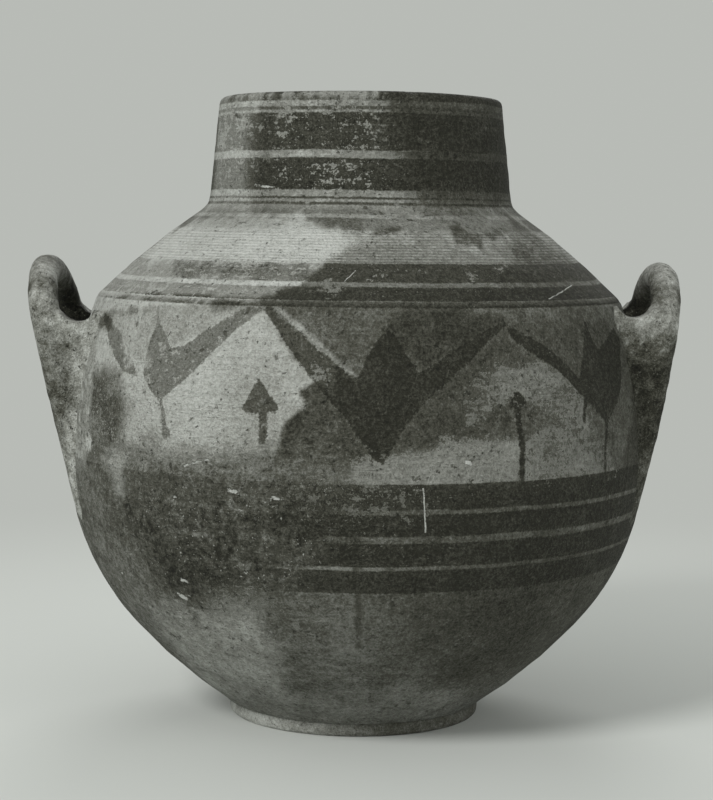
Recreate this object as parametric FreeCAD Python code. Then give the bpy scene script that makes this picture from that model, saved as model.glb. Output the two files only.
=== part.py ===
import FreeCAD, Part
import math
import os

from FreeCAD import Vector

# A large wheel-made storage jar with two upright loop handles, in millimetres.
# The origin is the middle of the ring that it stands on. Z is up, and the handles lie along X.
# Heights are measured from the table, and every radius from the jar's axis.

# Foot ring and floor
foot_height = 9.4
foot_radius = 87.0
foot_ring_width = 13.0
foot_bulge = 0.8
foot_edge_round = 2.6
floor_underside_height = 6.0
floor_thickness = 11.0
floor_corner_round = 35.0
floor_bevel_reach = 11.0

# Bowl and belly: three arcs that run into one another, the widest girth between the upper two
bowl_foot_radius = 88.4
bowl_break_height = 70.0
belly_curve_radius = 174.0
belly_radius = 202.0
belly_height = 186.0
body_wall = 9.0

# Shoulder: it leaves the belly at a rounded corner and swells a little between its ends
shoulder_radius = 182.2
shoulder_height = 292.4
shoulder_swell = 2.4
shoulder_corner_round = 7.0

# Neck and rim
neck_foot_radius = 105.8
neck_foot_height = 355.4
neck_foot_round = 13.0
rim_height = 430.0
rim_radius = 97.6
neck_wall = 8.6
lip_outer_round = 4.6
lip_inner_round = 2.4

# Seams where the thrown sections were luted together
belly_seam_height = 150.0
belly_seam_rise = 8.0
lip_coil_height = 9.0
lip_seam_rise = 3.0

# Handles: a round bar of clay bent into an arch, its two limbs running down the wall
handle_bar_radius = 10.3
handle_limb_spacing = 114.0
handle_top_above_shoulder = 27.2
handle_arch_rise = 38.6
handle_corner_radius = 30.0
left_handle_stand_off = 39.5
left_handle_lean = 8.5
right_handle_stand_off = 35.0
right_handle_lean = 5.5
limb_end_below_shoulder = 141.0

# Clay smeared between each limb and the wall
root_saddle_below_shoulder = 13.0
root_saddle_radius = 13.0
root_crest = 6.0
root_foot_below_shoulder = 112.0
root_half_width = 16.0
root_bar_half_width = 8.4
root_depth_in_wall = 20.0

# Round stretches are made of short facets: how far each turns from the next, in degrees
outer_facet_turn = 5.5
inner_facet_turn = 12.0
edge_facet_turn = 34.0
limb_facet_turn = 7.0
arch_facet_turn = 15.0

# One overrun serves every cutting shape
cut_overrun = 25.0


def at(radius, height):
    return Vector(radius, 0, height)


def arc_from(start, direction, end):
    """The arc that leaves a point in a given direction and ends at another point."""
    chord = end - start
    along = Vector(chord).normalize()
    aside = direction - along * direction.dot(along)
    bulge = chord.Length / 2 * math.tan(direction.getAngle(chord) / 2)
    return Part.Arc(start, (start + end) / 2 + aside.normalize() * bulge, end)


def end_direction(arc):
    return arc.tangent(arc.LastParameter)[0]


def facets(arc, facet_turn):
    """Points along an arc, ends included, spaced so that each facet turns no more than asked."""
    first, last = arc.FirstParameter, arc.LastParameter
    count = math.ceil(math.degrees(last - first) / facet_turn)
    return [arc.value(first + (last - first) * step / count) for step in range(count + 1)]


def rounded(before, corner, after, radius):
    """The few points that round the corner of an outline."""
    back = (before - corner).normalize()
    ahead = (after - corner).normalize()
    reach = radius * math.tan((math.pi - back.getAngle(ahead)) / 2)
    return facets(arc_from(corner + back * reach, back * -1, corner + ahead * reach), edge_facet_turn)


def inward(direction):
    """The unit normal that points into the jar, beside a direction that runs up the wall."""
    return Vector(-direction.z, 0, direction.x).normalize()


def corner_offset(corner, below, above, wall):
    """Where the inner faces of two walls meet, behind the corner where their outer faces meet."""
    middle = (inward(below) + inward(above)).normalize()
    return corner + middle * (wall / middle.dot(inward(below)))


def inner_face(arc, wall):
    """Points down the inside of a wall whose outer face is an arc that runs up."""
    first, last = arc.FirstParameter, arc.LastParameter
    places = (last, (first + last) / 2, first)
    moved_in = [arc.value(place) + inward(arc.tangent(place)[0]) * wall for place in places]
    return facets(Part.Arc(*moved_in), inner_facet_turn)


def polygon_face(points):
    return Part.Face(Part.makePolygon(points + points[:1]))


def revolved(face):
    return face.revolve(Vector(0, 0, 0), Vector(0, 0, 1), 360)


# Outer face from the foot to the shoulder's corner
foot_inner_radius = foot_radius - foot_ring_width
foot_joint = at(bowl_foot_radius, foot_height)
shoulder_corner = at(shoulder_radius, shoulder_height)
neck_corner = at(neck_foot_radius, neck_foot_height)
rim_corner = at(rim_radius, rim_height)
girth = at(belly_radius, belly_height)
break_drop = belly_height - bowl_break_height
break_reach = math.sqrt(belly_curve_radius**2 - break_drop**2)
bowl_break = at(belly_radius - belly_curve_radius + break_reach, bowl_break_height)
low_belly_arc = arc_from(girth, Vector(0, 0, -1), bowl_break)
bowl_arc = arc_from(bowl_break, end_direction(low_belly_arc), foot_joint)
high_belly_arc = arc_from(girth, Vector(0, 0, 1), shoulder_corner)


def upward(arc):
    middle = (arc.FirstParameter + arc.LastParameter) / 2
    return Part.Arc(arc.value(arc.LastParameter), arc.value(middle), arc.value(arc.FirstParameter))


body = [upward(bowl_arc), upward(low_belly_arc), high_belly_arc]


def body_outline():
    """Points up the outer face, from the foot to the shoulder's corner."""
    points = [foot_joint]
    for arc in body:
        points += facets(arc, outer_facet_turn)[1:]
    return points


def outer_radius(height):
    """The body's outer radius at a height between the foot and the shoulder's corner."""
    outline = body_outline()
    for low, high in zip(outline, outline[1:]):
        if height <= high.z:
            break
    return low.x + (high.x - low.x) * (height - low.z) / (high.z - low.z)


def wall_distance(height, across):
    """How far out along X the outer wall is, on a line that runs beside the axis."""
    return math.sqrt(outer_radius(height) ** 2 - across**2)


# Directions up the shoulder and the neck, and the corners of their inner faces
shoulder_run = (neck_corner - shoulder_corner).normalize()
neck_run = (rim_corner - neck_corner).normalize()
shoulder_inner = corner_offset(shoulder_corner, end_direction(high_belly_arc), shoulder_run, body_wall)
neck_inner = corner_offset(neck_corner, shoulder_run, neck_run, (body_wall + neck_wall) / 2)
rim_inner = at(rim_radius - neck_wall, rim_height)
shoulder_swelling = (shoulder_corner + neck_corner) / 2 - inward(shoulder_run) * shoulder_swell


def outside_points():
    """The jar's outer face from the foot to the lip, with its corners rounded."""
    belly = body_outline()
    shoulder = facets(Part.Arc(shoulder_corner, shoulder_swelling, neck_corner), outer_facet_turn)
    points = belly[:-1]
    points += rounded(belly[-2], shoulder_corner, shoulder[1], shoulder_corner_round)
    points += shoulder[1:-1]
    points += rounded(shoulder[-2], neck_corner, rim_corner, neck_foot_round)
    return points + rounded(neck_corner, rim_corner, rim_inner, lip_outer_round)


def inside_points():
    """The inner face from the lip down to the floor, which meets the bowl in a broad round."""
    points = rounded(rim_corner, rim_inner, neck_inner, lip_inner_round)
    points += [neck_inner, shoulder_inner]
    points += inner_face(body[2], body_wall)[1:] + inner_face(body[1], body_wall)[1:]
    bowl = inner_face(body[0], body_wall)
    floor_top = at(0, floor_underside_height + floor_thickness)
    points += bowl[1:-1]
    return points + rounded(bowl[-2], bowl[-1], floor_top, floor_corner_round) + [floor_top]


def wall_face():
    """Half of the jar's section through its axis, from the floor to the lip, before it is parted."""
    underside = [at(0, floor_underside_height), at(foot_inner_radius, floor_underside_height)]
    underside.append(at(foot_inner_radius, foot_height))
    return polygon_face(underside + outside_points() + inside_points())


def below_seam(outer, inner):
    """All that lies under the line through a seam's outer and inner ends."""
    fall = (outer.z - inner.z) / (outer.x - inner.x)
    reach = belly_radius + cut_overrun
    points = [at(0, -cut_overrun), at(reach, -cut_overrun)]
    points += [at(reach, outer.z + fall * (reach - outer.x)), at(0, outer.z - fall * outer.x)]
    return polygon_face(points)


def floor_region():
    """The floor's half section: its edge is bevelled, and the bowl laps over the bevel."""
    bevel_top = foot_height + floor_bevel_reach
    points = [at(0, -cut_overrun), at(foot_inner_radius, -cut_overrun), at(foot_inner_radius, foot_height)]
    points += [at(foot_inner_radius + floor_bevel_reach, bevel_top), at(0, bevel_top)]
    return polygon_face(points)


def thrown_sections():
    """The wall parted at its seams: floor, bowl, belly, shoulder, neck and lip coil."""
    belly_outer = outer_radius(belly_seam_height)
    lip_seam_height = rim_height - lip_coil_height
    lip_outer = rim_radius - lip_coil_height * neck_run.x / neck_run.z
    bowl_top = at(belly_outer, belly_seam_height - belly_seam_rise / 2)
    bowl_top_inner = at(belly_outer - body_wall, belly_seam_height + belly_seam_rise / 2)
    neck_top = at(lip_outer, lip_seam_height - lip_seam_rise / 2)
    neck_top_inner = at(lip_outer - neck_wall, lip_seam_height + lip_seam_rise / 2)
    cuts = [
        ("base_floor", floor_region()),
        ("lower_bowl", below_seam(bowl_top, bowl_top_inner)),
        ("belly_wall", below_seam(shoulder_corner, shoulder_inner)),
        ("shoulder", below_seam(neck_corner, neck_inner)),
        ("neck", below_seam(neck_top, neck_top_inner)),
    ]
    rest = wall_face()
    sections = {}
    for name, region in cuts:
        sections[name] = revolved(rest.common(region).Faces[0])
        rest = rest.cut(region).Faces[0]
    sections["rim_lip"] = revolved(rest)
    return sections


def foot_ring():
    """The ring that the jar stands on, flat underneath and a little swollen outside."""
    inner, outer = foot_inner_radius, foot_radius
    swelling = at(outer + foot_bulge, foot_height / 2)
    points = [at(inner, foot_height), at(inner, 0)]
    points += rounded(at(inner, 0), at(outer, 0), swelling, foot_edge_round)
    return revolved(polygon_face(points + [swelling, at(outer, foot_height)]))


def body_core():
    """Everything inside the outer face, which trims whatever is pressed onto the wall."""
    top = shoulder_height + cut_overrun
    cap = [at(shoulder_radius - cut_overrun, top), at(0, top), at(0, foot_height)]
    return revolved(polygon_face(body_outline() + cap))


class Handle:
    """The middle lines of one loop on the +X side, seen as two limbs and an arch that leans out."""

    def __init__(self, stand_off, lean):
        leaning = math.atan(lean / handle_arch_rise)
        self.up = Vector(math.sin(leaning), 0, math.cos(leaning))
        self.half_spacing = handle_limb_spacing / 2
        top = shoulder_height + handle_top_above_shoulder - handle_bar_radius
        spring_height = top - handle_arch_rise * self.up.z
        out = wall_distance(spring_height, self.half_spacing) + stand_off - handle_bar_radius
        self.spring = Vector(out, 0, spring_height)
        low = shoulder_height - limb_end_below_shoulder
        self.limb_end = Vector(wall_distance(low, self.half_spacing) - handle_bar_radius, 0, low)
        self.limb = facets(arc_from(self.spring, self.up * -1, self.limb_end), limb_facet_turn)

    def in_arch(self, across, rise):
        return self.spring + Vector(0, across, 0) + self.up * rise

    def arch(self):
        """A tight arc over each limb and a flatter one between them, each tangent to the next."""
        half, rise, corner = self.half_spacing, handle_arch_rise, handle_corner_radius
        crown = (half**2 + rise**2 - 2 * half * corner) / (2 * (rise - corner))
        to_join = Vector(half - corner, crown - rise, 0).normalize()
        aside = half - corner + corner * to_join.x
        front_join = self.in_arch(-aside, corner * to_join.y)
        rear_join = self.in_arch(aside, corner * to_join.y)
        front = arc_from(self.in_arch(-half, 0), self.up, front_join)
        middle = arc_from(front_join, end_direction(front), rear_join)
        rear = arc_from(rear_join, end_direction(middle), self.in_arch(half, 0))
        points = facets(front, arch_facet_turn)
        return points + facets(middle, arch_facet_turn)[1:] + facets(rear, arch_facet_turn)[1:]

    def middle_line(self):
        """The whole loop: up the front limb, over the arch and down the rear limb."""
        aside = Vector(0, self.half_spacing, 0)
        front = [point - aside for point in reversed(self.limb)]
        rear = [point + aside for point in self.limb]
        return front[:-1] + self.arch() + rear[1:]


def handle_bar(handle):
    """The round bar along the loop, its ends still running on inside the wall."""
    points = handle.middle_line()
    section = Part.Wire([Part.Circle(points[0], points[1] - points[0], handle_bar_radius).toShape()])
    mitred = 1
    return Part.Wire(Part.makePolygon(points)).makePipeShell([section], True, False, mitred)


def handle_root(handle, side):
    """The smeared clay behind one limb: a wedge along it, hollowed into the finger gap's saddle."""
    foot = shoulder_height - root_foot_below_shoulder
    saddle = shoulder_height - root_saddle_below_shoulder
    along = handle.spring - handle.limb_end
    foot_point = handle.limb_end + along * ((foot - handle.limb_end.z) / along.z)
    deep = wall_distance(foot, handle.half_spacing) - root_depth_in_wall
    middle = handle.half_spacing * side
    plan = []
    for out, wide in ((deep, -root_half_width), (foot_point.x, -root_bar_half_width),
                      (foot_point.x, root_bar_half_width), (deep, root_half_width)):
        plan.append(Vector(out, middle + wide, foot))
    clay = polygon_face(plan).extrude(along * ((saddle + root_crest - foot) / along.z))
    wall = wall_distance(saddle, handle.half_spacing)
    bar = foot_point.x + along.x * (saddle - foot) / along.z - handle_bar_radius
    across = handle.half_spacing - root_half_width - cut_overrun
    start = Vector((wall + bar) / 2, across * side, saddle + root_saddle_radius)
    length = 2 * (root_half_width + cut_overrun)
    hollow = Part.makeCylinder(root_saddle_radius, length, start, Vector(0, side, 0))
    return clay.cut(hollow)


def biggest(shape):
    return max(shape.Solids, key=lambda solid: solid.Volume)


def handle_pieces(handle, mirrored):
    """A bar and its two roots, trimmed to the wall and to each other. Mirrored puts them at -X."""
    core = body_core()
    bar = biggest(handle_bar(handle).cut(core))
    pieces = [bar]
    for side in (-1, 1):
        clay = handle_root(handle, side).cut(core).cut(bar)
        pieces.append(biggest(clay))
    if mirrored:
        pieces = [piece.mirror(Vector(0, 0, 0), Vector(1, 0, 0)) for piece in pieces]
    return pieces


def write(name, shape):
    shape = shape.removeSplitter()
    box = shape.optimalBoundingBox(True)
    print(f"{name}: {len(shape.Solids)} solid, {shape.Volume:.0f} mm3, valid {shape.isValid()}, "
          f"x {box.XMin:.1f} {box.XMax:.1f}, y {box.YMin:.1f} {box.YMax:.1f}, "
          f"z {box.ZMin:.1f} {box.ZMax:.1f}")
    shape.exportStep(f"parts/{name}.step")


os.makedirs("parts", exist_ok=True)
write("foot_ring", foot_ring())
for section_name, section in thrown_sections().items():
    write(section_name, section)
handles = {
    "left": Handle(left_handle_stand_off, left_handle_lean),
    "right": Handle(right_handle_stand_off, right_handle_lean),
}
for side_name, side_handle in handles.items():
    bar_piece, front_root, rear_root = handle_pieces(side_handle, side_name == "left")
    write(f"handle_{side_name}", bar_piece)
    write(f"handle_root_{side_name}_front", front_root)
    write(f"handle_root_{side_name}_rear", rear_root)
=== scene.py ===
import functools
import math

import bmesh
import bpy
import numpy as np
from mathutils import Matrix, Vector


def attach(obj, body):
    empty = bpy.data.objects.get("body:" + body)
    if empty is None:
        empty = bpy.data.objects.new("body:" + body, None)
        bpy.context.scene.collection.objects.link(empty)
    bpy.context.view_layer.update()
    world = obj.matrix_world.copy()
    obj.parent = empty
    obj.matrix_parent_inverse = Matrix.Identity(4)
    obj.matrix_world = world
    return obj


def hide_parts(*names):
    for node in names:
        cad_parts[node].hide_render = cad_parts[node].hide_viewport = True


# A large painted storage jar. Lengths are in millimetres until a mesh is made, and in metres there.
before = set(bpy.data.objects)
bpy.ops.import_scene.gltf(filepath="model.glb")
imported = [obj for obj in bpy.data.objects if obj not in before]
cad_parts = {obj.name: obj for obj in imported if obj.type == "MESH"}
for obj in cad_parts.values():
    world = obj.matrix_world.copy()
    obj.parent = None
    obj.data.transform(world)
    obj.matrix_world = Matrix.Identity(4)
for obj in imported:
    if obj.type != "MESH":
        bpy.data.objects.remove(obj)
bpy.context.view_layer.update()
print("frame loaded:", len(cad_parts), "nodes")


def ease(low, high, value):
    share = np.clip((value - low) / (high - low), 0, 1)
    return share * share * (3 - 2 * share)


# A random value from 0 to 1 for each whole place, the same on every run
def lattice(x, y, z, seed):
    mixed = (x * 374761393 + y * 668265263 + z * 1440662683 + seed * 1274126177) & 0xFFFFFFFF
    mixed = ((mixed ^ (mixed >> 13)) * 1274126177) & 0xFFFFFFFF
    return ((mixed ^ (mixed >> 16)) & 0xFFFFFF) / 0xFFFFFF


# Smooth lumps of a given size, from -1 to 1
def lumps(places, size, seed):
    spot = places / size
    cell = np.floor(spot).astype(np.int64)
    inCell = spot - cell
    inCell = inCell * inCell * (3 - 2 * inCell)
    total = 0
    for corner in np.ndindex(2, 2, 2):
        weight = np.prod(np.where(corner, inCell, 1 - inCell), axis=-1)
        total = total + weight * lattice(*np.moveaxis(cell + np.array(corner), -1, 0), seed)
    return total * 2 - 1


# Lumps of several sizes on each other, each as (how high, how large)
def layered(places, layers, seed):
    return sum(high * lumps(places, size, seed + place) for place, (high, size) in enumerate(layers))


# The wall's section, read from the frame
wallNodes = ["base_floor", "lower_bowl", "belly_wall", "shoulder", "neck", "rim_lip"]
turning = {
    "columns": 720,
    "weld": 2e-6,  # metres
    "snap": 0.03,
    "flat": 0.004,  # a corner less than this off the line is dropped
    "outsideRow": 1.7,  # mm from row to row
    "insideRow": 6.0,
    "seamRows": 3,
    "straightRun": 25.0,  # a longer edge is laid out in four parts, so that it stays straight
    "hardCorner": 40.0,  # degrees; a lesser turn is made smooth
    "groove": 9.5,  # height of the groove over the foot ring
    "ringOut": 88.5,  # radius that tells the wall from the ring
}
knownCorners = []


def snapped(radius, height):
    for corner in knownCorners:
        if abs(corner[0] - radius) + abs(corner[1] - height) < turning["snap"]:
            return corner
    knownCorners.append((radius, height))
    return knownCorners[-1]


def joined(links, start):
    path = [start]
    while True:
        ahead = [corner for corner in links[path[-1]] if corner not in path]
        if not ahead:
            return path
        path.append(ahead[0])


def linked(pairs):
    links = {}
    for a, b in pairs:
        links.setdefault(a, []).append(b)
        links.setdefault(b, []).append(a)
    return links


# One node's outline in the half plane towards +X, as ordered (radius, height) corners
def nodeOutline(name):
    bm = bmesh.new()
    bm.from_mesh(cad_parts[name].data)
    bmesh.ops.remove_doubles(bm, verts=bm.verts, dist=turning["weld"])
    everything = bm.verts[:] + bm.edges[:] + bm.faces[:]
    found = bmesh.ops.bisect_plane(
        bm, geom=everything, dist=turning["weld"], plane_co=(0, 0, 0), plane_no=(0, 1, 0))["geom_cut"]
    pairs = []
    for edge in found:
        if isinstance(edge, bmesh.types.BMEdge):
            (ra, za), (rb, zb) = sorted((v.co.x * 1000, v.co.z * 1000) for v in edge.verts)
            if rb > 1e-3:
                if ra < 1e-3:
                    ra, za = 0.0, za + (zb - za) * -ra / (rb - ra)
                a, b = snapped(ra, za), snapped(rb, zb)
                if a != b:
                    pairs.append((a, b))
    bm.free()
    links = linked(pairs)
    path = joined(links, min(links, key=lambda corner: (len(links[corner]), corner[1])))
    kept = []
    for place, here in enumerate(path):
        before, after = path[place - 1], path[(place + 1) % len(path)]
        across = (after[0] - before[0]) * (here[1] - before[1]) - (after[1] - before[1]) * (here[0] - before[0])
        if here[0] == 0 or abs(across) > turning["flat"] * math.dist(before, after):
            kept.append(here)
    return kept


def edgesOf(outline):
    return list(zip(outline, outline[1:] + (outline[:1] if outline[0][0] > 0 else [])))


def cornerTurn(a, b, c):
    before, after = np.subtract(b, a), np.subtract(c, b)
    return abs(math.degrees(math.atan2(before[0] * after[1] - before[1] * after[0], before @ after)))


# Points along a smooth stretch of corners, one list for each edge, its first corner included
def smoothEdges(corners, spacings):
    points = [np.array(corner) for corner in corners]
    points = [2 * points[0] - points[1]] + points + [2 * points[-1] - points[-2]]
    result = []
    for p0, p1, p2, p3, spacing in zip(points, points[1:], points[2:], points[3:], spacings):
        k0, k1, k2, k3 = np.cumsum([0] + [math.dist(a, b) ** 0.5 for a, b in ((p0, p1), (p1, p2), (p2, p3))])
        count = max(1, math.ceil(math.dist(p1, p2) / spacing))
        edge = [tuple(corners[len(result)])]
        for t in np.linspace(k1, k2, count, endpoint=False)[1:]:
            a1 = p0 + (p1 - p0) * (t - k0) / (k1 - k0)
            a2 = p1 + (p2 - p1) * (t - k1) / (k2 - k1)
            a3 = p2 + (p3 - p2) * (t - k2) / (k3 - k2)
            b1 = a1 + (a2 - a1) * (t - k0) / (k2 - k0)
            b2 = a2 + (a3 - a2) * (t - k1) / (k3 - k1)
            edge.append(tuple(b1 + (b2 - b1) * (t - k1) / (k2 - k1)))
        result.append(edge)
    return result


# Every edge of a path of corners as fine points, real corners kept and the rest made smooth
def fineEdges(path):
    top = max(range(len(path)), key=lambda place: path[place][1])
    hard = [0] + [place + 1 for place, three in enumerate(zip(path, path[1:], path[2:]))
                  if cornerTurn(*three) > turning["hardCorner"]] + [len(path) - 1]
    fine = {}
    for first, last in zip(hard, hard[1:]):
        dense, owners, spacings = [path[first]], [], []
        for place in range(first, last):
            a, b = np.array(path[place]), np.array(path[place + 1])
            parts = 4 if math.dist(a, b) > turning["straightRun"] else 1
            outside = place < top and max(a[1], b[1]) > turning["groove"]
            for part in range(parts):
                dense.append(path[place + 1] if part == parts - 1 else tuple(a + (b - a) * (part + 1) / parts))
                owners.append(place)
                spacings.append(turning["outsideRow"] if outside else turning["insideRow"])
        edges = smoothEdges(dense, spacings)
        for place in range(first, last):
            a, b = path[place], path[place + 1]
            points = [point for owner, edge in zip(owners, edges) if owner == place for point in edge]
            fine[a, b] = points
            fine[b, a] = [b] + points[:0:-1]
    return fine


outlines = {name: nodeOutline(name) for name in ["foot_ring"] + wallNodes}
edgeUses = {}
for name in wallNodes:
    for a, b in edgesOf(outlines[name]):
        edgeUses.setdefault(frozenset((a, b)), []).append((a, b))
skinLinks = linked(used[0] for used in edgeUses.values() if len(used) == 1)
skin = joined(skinLinks, min((corner for corner in skinLinks if corner[0] == 0), key=lambda corner: corner[1]))
fine = fineEdges(skin)
ringPath = outlines["foot_ring"]
ringNext = ringPath[1:] + ringPath[:1]
ringStart = max(range(len(ringPath)),
                key=lambda place: cornerTurn(ringPath[place - 1], ringPath[place], ringNext[place]))
ringPath = ringPath[ringStart:] + ringPath[:ringStart + 1]
fine.update(fineEdges(ringPath))
outerPoints = [point for a, b in zip(skin, skin[1:]) for point in fine[a, b]]
outerPoints = outerPoints[:max(range(len(outerPoints)), key=lambda place: outerPoints[place][1]) + 1]
outerPoints = sorted((height, radius) for radius, height in outerPoints if radius > turning["ringOut"])
outerHeights, outerRadii = (np.array(column) for column in zip(*outerPoints))
print("section read:", len(skin), "corners of skin from", skin[0], "to", skin[-1])


def outerRadius(height):
    return np.interp(height, outerHeights, outerRadii)


# The hand of the potter: how the turned wall departs from true. Lumps are (how high, how large).
thrown = {
    "outOfRound": 0.45,
    "dents": [(0.35, 46.0)],
    "ridges": [(0.16, 5.5), (0.07, 1.9)],
    "insideRidges": [(0.55, 9.0)],
    "rough": [(0.13, 7.0)],
    "wheel": (0.05, 0.05, 1),  # ridges run round the wall
    "lip": (423, 429),  # heights where it starts and is full
    "lipWave": 0.35,
    "lipChipDepth": 0.9,
    "cornerWear": 0.25,
    "cornerHeight": 292.4,
    "cornerReach": 4.0,
}


def thrownPlaces(turn, radius, height):
    look = thrown
    across, deep = np.sin(turn), -np.cos(turn)
    places = np.stack([across * radius, deep * radius, height], axis=-1)
    wheel = places * look["wheel"]
    outside = 1 - ease(1.0, 4.5, outerRadius(height) - radius)
    shift = look["outOfRound"] * (np.cos(2 * turn + 0.6) + 0.6 * np.cos(3 * turn - 1.1 + height / 90) - 1) * 0.5
    shift += layered(places, look["dents"], 3) + layered(wheel, look["insideRidges"], 8) * (1 - outside)
    shift += (layered(wheel, look["ridges"], 5) + layered(places, look["rough"], 9)) * outside
    corner = np.exp(-((height - look["cornerHeight"]) / look["cornerReach"]) ** 2)
    shift -= look["cornerWear"] * corner * (0.6 + 0.4 * lumps(places, 9.0, 12)) * outside
    lip = ease(*look["lip"], height)
    chips = ease(0.35, 0.8, lumps(places, 6.0, 15)) * lip * look["lipChipDepth"]
    shift -= chips * outside * 0.6
    shift *= ease(0.5, 12, height)
    sink = look["lipWave"] * (np.sin(turn * 2 + 1) * 0.6 + np.sin(turn * 5) * 0.25 - 0.85)
    sink = lip * (sink - chips * 0.5)
    reach = radius + shift * (radius > 0)
    return np.stack([across * reach, deep * reach, np.maximum(height + sink, 0)], axis=-1)


# The camera's place. Its unit is one pixel of the photograph at the jar's axis.
view = {
    "unit": 0.70147,  # mm
    "distance": 2075.0,
    "eyeHeight": 493.0,
    "pitch": math.radians(4.95),
    "roll": math.radians(0.74),
    "centre": (356.5, 400.0),
    "axisAside": 0.9,
    "frameHeight": 800,
}


def onPhoto(turn, height):
    radius = outerRadius(height)
    x = np.sin(turn) * radius / view["unit"]
    y = -np.cos(turn) * radius / view["unit"] + view["distance"]
    z = height / view["unit"] - view["eyeHeight"]
    depth = y * math.cos(view["pitch"]) - z * math.sin(view["pitch"])
    rise = y * math.sin(view["pitch"]) + z * math.cos(view["pitch"])
    right = view["distance"] * x / depth + view["axisAside"]
    down = -view["distance"] * rise / depth
    c, s = math.cos(view["roll"]), math.sin(view["roll"])
    return view["centre"][0] + right * c - down * s, view["centre"][1] + right * s + down * c


unrolled = 195.0  # mm of the painting for one radian of turn
wallTurns, wallHeights = (grid.ravel() for grid in np.meshgrid(
    np.radians(np.arange(-82, 82.1, 0.5)), np.arange(12, 430, 1.0)))
wallX, wallY = onPhoto(wallTurns, wallHeights)


# Where a point of the photograph lies on the unrolled wall
def onWall(point):
    place = np.argmin((wallX - point[0]) ** 2 + (wallY - point[1]) ** 2)
    turn, height = wallTurns[place], wallHeights[place]
    for step in range(4):
        here = np.array(onPhoto(turn, height))
        byTurn = (np.array(onPhoto(turn + 1e-3, height)) - here) / 1e-3
        byHeight = np.array(onPhoto(turn, height + 0.1)) - here
        move = np.linalg.lstsq(np.stack([byTurn, byHeight / 0.1], axis=1), np.array(point) - here, rcond=None)[0]
        turn = np.clip(turn + np.clip(move[0], -0.02, 0.02), -1.45, 1.45)
        height = np.clip(height + np.clip(move[1], -3, 3), 11, 430)
    return turn * unrolled, height


def outlineDistance(places, corners):
    ends = np.array([onWall(corner) for corner in corners])
    nearest, inside = np.full(len(places), 1e9), np.zeros(len(places), bool)
    for a, b in zip(ends, np.roll(ends, -1, axis=0)):
        run, out = b - a, places - a
        share = np.clip(out @ run / max(run @ run, 1e-9), 0, 1)
        nearest = np.minimum(nearest, np.hypot(*(out - share[:, None] * run).T))
        if a[1] != b[1]:
            crosses = (a[1] > places[:, 1]) != (b[1] > places[:, 1])
            inside ^= crosses & (out[:, 0] < run[0] * out[:, 1] / run[1])
    return np.where(inside, -nearest, nearest)


# Distance to a brush stroke: points with a half width each, in the photograph's pixels
def strokeDistance(places, stroke):
    ends = [(np.array(onWall(point[:2])), point[2] * view["unit"]) for point in stroke]
    nearest = np.full(len(places), 1e9)
    for (a, wideA), (b, wideB) in zip(ends, ends[1:]):
        run, out = b - a, places - a
        share = np.clip(out @ run / max(run @ run, 1e-9), 0, 1)
        nearest = np.minimum(nearest, np.hypot(*(out - share[:, None] * run).T) - (wideA + (wideB - wideA) * share))
    return nearest


# The painter's figures in the frieze, outlined where the photograph shows them
figures = {
    "crownMiddle": [(264, 308), (276, 308), (298, 330), (318, 350), (332, 360), (347, 374), (356, 379), (360, 374),
        (366, 360), (376, 342), (388, 329), (398, 341), (410, 360), (419, 373), (432, 365), (454, 351), (476, 336),
        (504, 320), (507, 326), (489, 341), (471, 361), (451, 379), (425, 402), (408, 424), (393, 448), (383, 466),
        (374, 460), (360, 440), (344, 416), (332, 403), (318, 386), (301, 365), (281, 335)],
    "crownLeft": [(263, 307), (262, 313), (254, 315), (230, 335), (200, 365), (180, 384), (164, 397), (158, 399),
        (150, 390), (143, 374), (146, 355), (152, 335), (158, 317), (165, 333), (172, 348), (185, 345), (215, 325),
        (241, 310), (252, 307)],
    "crownRight": [(508, 325), (528, 336), (547, 347), (559, 357), (574, 372), (580, 380), (583, 350), (585, 319),
        (591, 335), (598, 350), (604, 344), (610, 334), (614, 328), (620, 340), (622, 380), (618, 402), (608, 424),
        (598, 412), (588, 400), (580, 393), (567, 378), (556, 368), (540, 358), (522, 346), (508, 333)],
    "farLeftSpike": [(103, 310), (112, 320), (122, 336), (130, 354), (137, 376), (124, 372), (114, 356),
        (107, 334)],
    "arrowLeftHead": [(259, 378), (280, 408), (274, 412), (268, 411), (264, 414), (258, 413), (250, 413),
        (241, 410)],
    "arrowRightHead": [(517, 390), (528, 403), (522, 408), (515, 407), (508, 408)],
}
strokes = {
    "tail": [(161, 398, 1.8), (164, 424, 2.4), (166, 433, 4.6), (166, 434, 4.6)],
    "arrowLeftStem": [(263, 408, 3.8), (263, 432, 3.6), (262, 442, 2.6)],
    "arrowRightStem": [(517, 404, 2.8), (520, 426, 3.0), (523, 447, 3.2), (522, 481, 2.6)],
    "dropRight": [(607, 420, 2.4), (606, 450, 1.8), (606, 478, 1.6)],
    "dropSmall": [(586, 398, 2.4), (585, 421, 2.0)],
}
# Slip that ran down, thin enough for the bands to show through
drips = {
    "fromArrow": [(518, 478, 2.6), (515, 505, 2.6), (515, 534, 1.2)],
    "farRight": [(606, 478, 2.0), (606, 530, 1.6)],
    "middle": [(357, 500, 3.2), (358, 570, 3.6), (358, 650, 2.2)],
    "lowRight": [(584, 573, 1.4), (575, 596, 1.6), (562, 615, 1.0)],
}
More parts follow.
